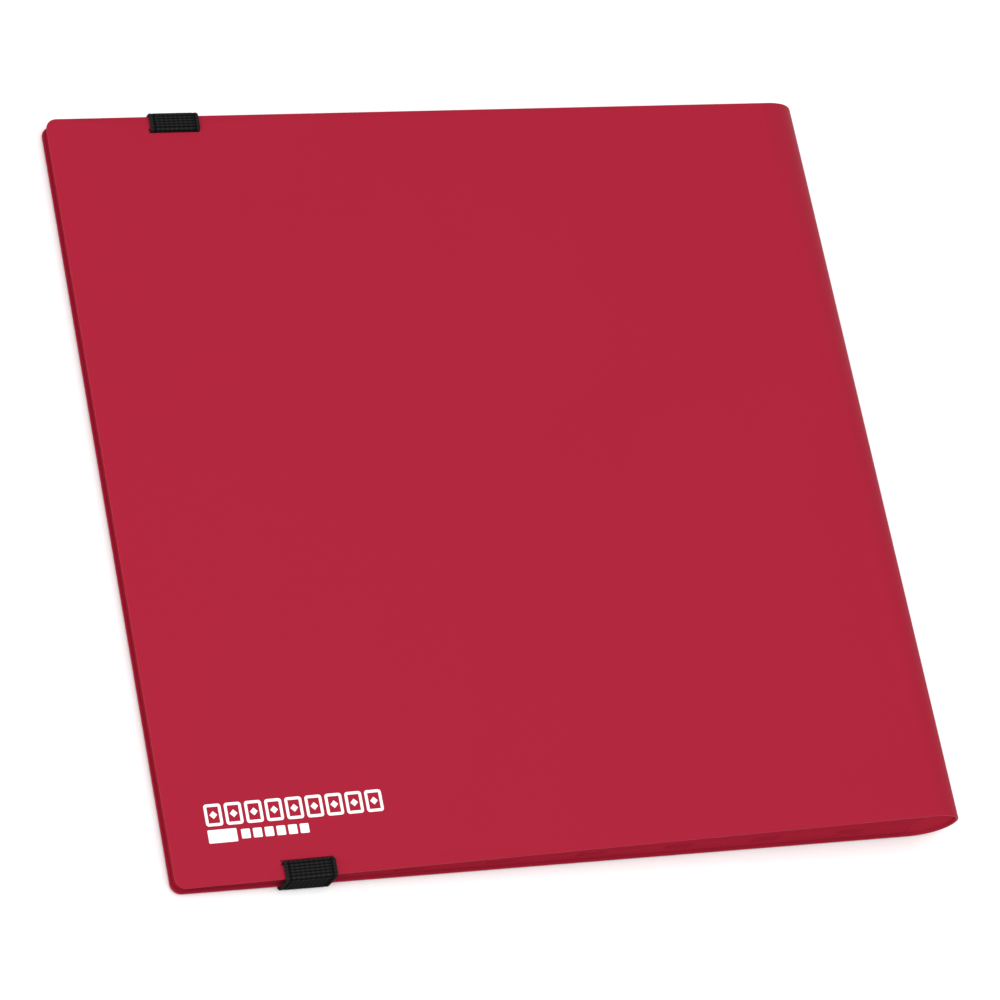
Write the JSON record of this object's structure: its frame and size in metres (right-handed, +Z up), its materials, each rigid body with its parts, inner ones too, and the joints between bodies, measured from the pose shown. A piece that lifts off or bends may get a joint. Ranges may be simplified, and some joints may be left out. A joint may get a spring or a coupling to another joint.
{
  "type": "trading card binder",
  "caption": "Side-loading card binder with a rounded spine, welded pocket leaves and an elastic closure, lying closed on its front cover.",
  "frame": {"origin": "middle of the bounding box, on the surface that the binder lies on", "axes": "+X from the fore edge towards the spine, +Y along the height of the covers, +Z up, out of the back cover; the outside of the front cover is level"},
  "size_m": [0.3212, 0.3108, 0.0278],
  "materials": {
    "cover": "satin red polypropylene sheet with a fine grain",
    "leaf": "deep red sheet between clear glossy pocket films",
    "pocket_film": "clear glossy polypropylene film",
    "elastic": "black woven elastic with fine cross ribs and plain selvedges",
    "print": "flat white ink"
  },
  "bodies": {
    "front_cover": {"front_cover": "cover"},
    "spine": {"spine_panel": "cover", "leaf_binding": "leaf"},
    "back_cover": {"back_cover": "cover", "elastic_end_bottom": "elastic", "elastic_end_top": "elastic", "elastic_wrap_bottom": "elastic", "elastic_wrap_top": "elastic"},
    "elastic": {"elastic_band": "elastic"},
    "leaf_01": {"leaf_01": "leaf"},
    "leaf_02": {"leaf_02": "leaf"},
    "leaf_03": {"leaf_03": "leaf"},
    "leaf_04": {"leaf_04": "leaf"},
    "leaf_05": {"leaf_05": "leaf"},
    "leaf_06": {"leaf_06": "leaf"},
    "leaf_07": {"leaf_07": "leaf"},
    "leaf_08": {"leaf_08": "leaf"},
    "leaf_09": {"leaf_09": "leaf"},
    "leaf_10": {"leaf_10": "leaf"},
    "leaf_11": {"leaf_11": "leaf"},
    "leaf_12": {"leaf_12": "leaf"},
    "leaf_13": {"leaf_13": "leaf"},
    "leaf_14": {"leaf_14": "leaf"},
    "leaf_15": {"leaf_15": "leaf"},
    "leaf_16": {"leaf_16": "leaf"},
    "leaf_17": {"leaf_17": "leaf"},
    "leaf_18": {"leaf_18": "leaf"},
    "leaf_19": {"leaf_19": "leaf"},
    "leaf_20": {"leaf_20": "leaf"}
  },
  "joints": [
    {"name": "spine_fold", "type": "hinge", "parent": "front_cover", "child": "spine", "pos_m": [0.14644, 0, 0.0014], "axis": [0, 1, 0], "range_deg": [0, 90]},
    {"name": "back_cover_fold", "type": "hinge", "parent": "spine", "child": "back_cover", "pos_m": [0.14563, 0, 0.02779], "axis": [0, 1, 0], "range_deg": [0, 90]},
    {"name": "strap_pull", "type": "slide", "parent": "back_cover", "child": "elastic", "axis": [-1, 0, 0], "range_m": [0, 0.065], "stiffness_N_per_m": 80, "deforming": ["elastic_band"]},
    {"name": "leaf_01_turn", "type": "hinge", "parent": "spine", "child": "leaf_01", "pos_m": [0.14499, 0, 0.00301], "axis": [0, 1, 0], "range_deg": [-90, 0]},
    {"name": "leaf_02_turn", "type": "hinge", "parent": "spine", "child": "leaf_02", "pos_m": [0.14465, 0, 0.00422], "axis": [0, 1, 0], "range_deg": [-90, 0]},
    {"name": "leaf_03_turn", "type": "hinge", "parent": "spine", "child": "leaf_03", "pos_m": [0.14432, 0, 0.00543], "axis": [0, 1, 0], "range_deg": [-90, 0]},
    {"name": "leaf_04_turn", "type": "hinge", "parent": "spine", "child": "leaf_04", "pos_m": [0.14398, 0, 0.00664], "axis": [0, 1, 0], "range_deg": [-90, 0]},
    {"name": "leaf_05_turn", "type": "hinge", "parent": "spine", "child": "leaf_05", "pos_m": [0.14364, 0, 0.00785], "axis": [0, 1, 0], "range_deg": [-90, 0]},
    {"name": "leaf_06_turn", "type": "hinge", "parent": "spine", "child": "leaf_06", "pos_m": [0.14331, 0, 0.00906], "axis": [0, 1, 0], "range_deg": [-90, 0]},
    {"name": "leaf_07_turn", "type": "hinge", "parent": "spine", "child": "leaf_07", "pos_m": [0.14297, 0, 0.01026], "axis": [0, 1, 0], "range_deg": [-90, 0]},
    {"name": "leaf_08_turn", "type": "hinge", "parent": "spine", "child": "leaf_08", "pos_m": [0.14263, 0, 0.01146], "axis": [0, 1, 0], "range_deg": [-90, 0]},
    {"name": "leaf_09_turn", "type": "hinge", "parent": "spine", "child": "leaf_09", "pos_m": [0.14229, 0, 0.01267], "axis": [0, 1, 0], "range_deg": [-90, 0]},
    {"name": "leaf_10_turn", "type": "hinge", "parent": "spine", "child": "leaf_10", "pos_m": [0.14196, 0, 0.01386], "axis": [0, 1, 0], "range_deg": [-90, 0]},
    {"name": "leaf_11_turn", "type": "hinge", "parent": "spine", "child": "leaf_11", "pos_m": [0.14192, 0, 0.01507], "axis": [0, 1, 0], "range_deg": [0, 90]},
    {"name": "leaf_12_turn", "type": "hinge", "parent": "spine", "child": "leaf_12", "pos_m": [0.14218, 0, 0.01629], "axis": [0, 1, 0], "range_deg": [0, 90]},
    {"name": "leaf_13_turn", "type": "hinge", "parent": "spine", "child": "leaf_13", "pos_m": [0.14245, 0, 0.01751], "axis": [0, 1, 0], "range_deg": [0, 90]},
    {"name": "leaf_14_turn", "type": "hinge", "parent": "spine", "child": "leaf_14", "pos_m": [0.14271, 0, 0.01873], "axis": [0, 1, 0], "range_deg": [0, 90]},
    {"name": "leaf_15_turn", "type": "hinge", "parent": "spine", "child": "leaf_15", "pos_m": [0.14297, 0, 0.01995], "axis": [0, 1, 0], "range_deg": [0, 90]},
    {"name": "leaf_16_turn", "type": "hinge", "parent": "spine", "child": "leaf_16", "pos_m": [0.14323, 0, 0.02118], "axis": [0, 1, 0], "range_deg": [0, 90]},
    {"name": "leaf_17_turn", "type": "hinge", "parent": "spine", "child": "leaf_17", "pos_m": [0.1435, 0, 0.0224], "axis": [0, 1, 0], "range_deg": [0, 90]},
    {"name": "leaf_18_turn", "type": "hinge", "parent": "spine", "child": "leaf_18", "pos_m": [0.14376, 0, 0.02363], "axis": [0, 1, 0], "range_deg": [0, 90]},
    {"name": "leaf_19_turn", "type": "hinge", "parent": "spine", "child": "leaf_19", "pos_m": [0.14402, 0, 0.02486], "axis": [0, 1, 0], "range_deg": [0, 90]},
    {"name": "leaf_20_turn", "type": "hinge", "parent": "spine", "child": "leaf_20", "pos_m": [0.14428, 0, 0.02609], "axis": [0, 1, 0], "range_deg": [0, 90]}
  ],
  "couplings": [
    {"joint": "leaf_01_turn", "follows": "spine_fold", "ratio": -0.99903},
    {"joint": "leaf_02_turn", "follows": "spine_fold", "ratio": -0.99708},
    {"joint": "leaf_03_turn", "follows": "spine_fold", "ratio": -0.99512},
    {"joint": "leaf_04_turn", "follows": "spine_fold", "ratio": -0.99317},
    {"joint": "leaf_05_turn", "follows": "spine_fold", "ratio": -0.99122},
    {"joint": "leaf_06_turn", "follows": "spine_fold", "ratio": -0.98927},
    {"joint": "leaf_07_turn", "follows": "spine_fold", "ratio": -0.98732},
    {"joint": "leaf_08_turn", "follows": "spine_fold", "ratio": -0.98537},
    {"joint": "leaf_09_turn", "follows": "spine_fold", "ratio": -0.98342},
    {"joint": "leaf_10_turn", "follows": "spine_fold", "ratio": -0.98147},
    {"joint": "leaf_11_turn", "follows": "back_cover_fold", "ratio": 0.98147},
    {"joint": "leaf_12_turn", "follows": "back_cover_fold", "ratio": 0.98342},
    {"joint": "leaf_13_turn", "follows": "back_cover_fold", "ratio": 0.98537},
    {"joint": "leaf_14_turn", "follows": "back_cover_fold", "ratio": 0.98732},
    {"joint": "leaf_15_turn", "follows": "back_cover_fold", "ratio": 0.98927},
    {"joint": "leaf_16_turn", "follows": "back_cover_fold", "ratio": 0.99122},
    {"joint": "leaf_17_turn", "follows": "back_cover_fold", "ratio": 0.99317},
    {"joint": "leaf_18_turn", "follows": "back_cover_fold", "ratio": 0.99512},
    {"joint": "leaf_19_turn", "follows": "back_cover_fold", "ratio": 0.99708},
    {"joint": "leaf_20_turn", "follows": "back_cover_fold", "ratio": 0.99903}
  ]
}
